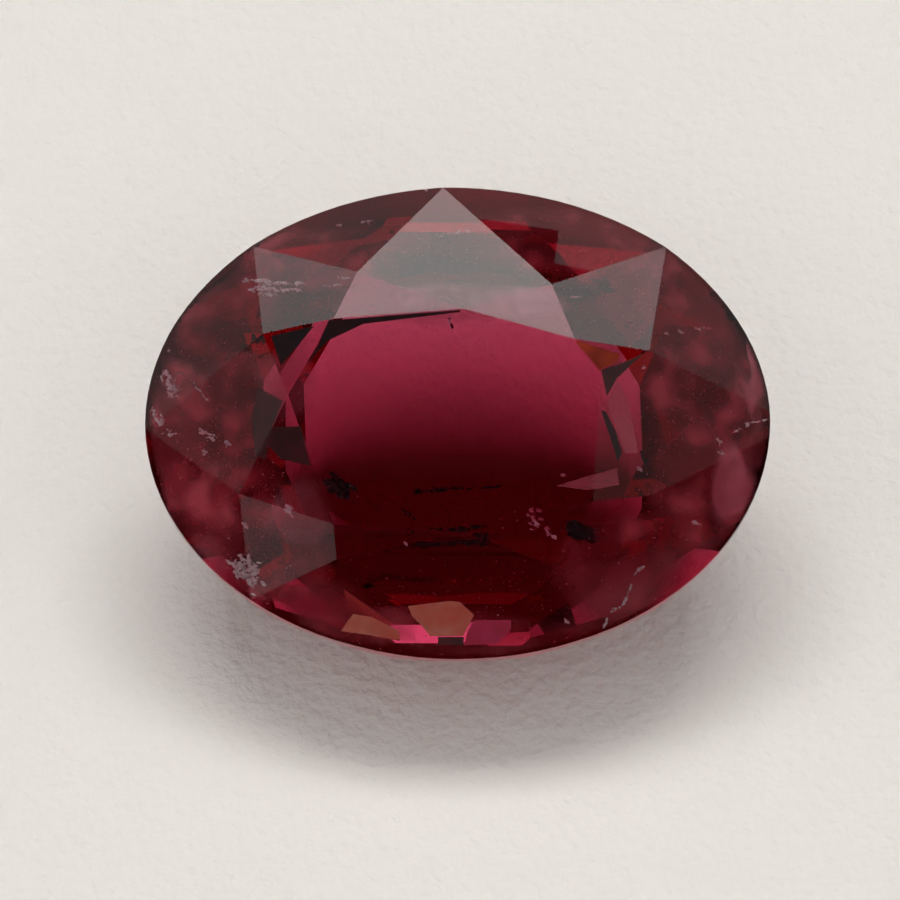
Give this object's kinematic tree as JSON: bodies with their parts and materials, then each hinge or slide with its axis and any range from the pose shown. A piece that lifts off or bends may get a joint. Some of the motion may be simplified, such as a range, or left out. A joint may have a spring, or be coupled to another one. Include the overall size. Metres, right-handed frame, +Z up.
{
  "type": "oval tourmaline gemstone",
  "caption": "Loose oval faceted gemstone of red-pink tourmaline, a clear crystal for setting in jewellery or for display, lying on a pavilion facet.",
  "frame": {"origin": "bottom centre of the bounding box, on the surface that the stone lies on", "axes": "+X along the stone's length, +Z up, and the table (the large top facet) faces up and leans towards -Y"},
  "size_m": [0.008, 0.0058, 0.0043],
  "materials": {
    "tourmaline_red_pink": "polished"
  },
  "bodies": {
    "root": {"tourmaline_gemstone": "tourmaline_red_pink"}
  },
  "joints": []
}
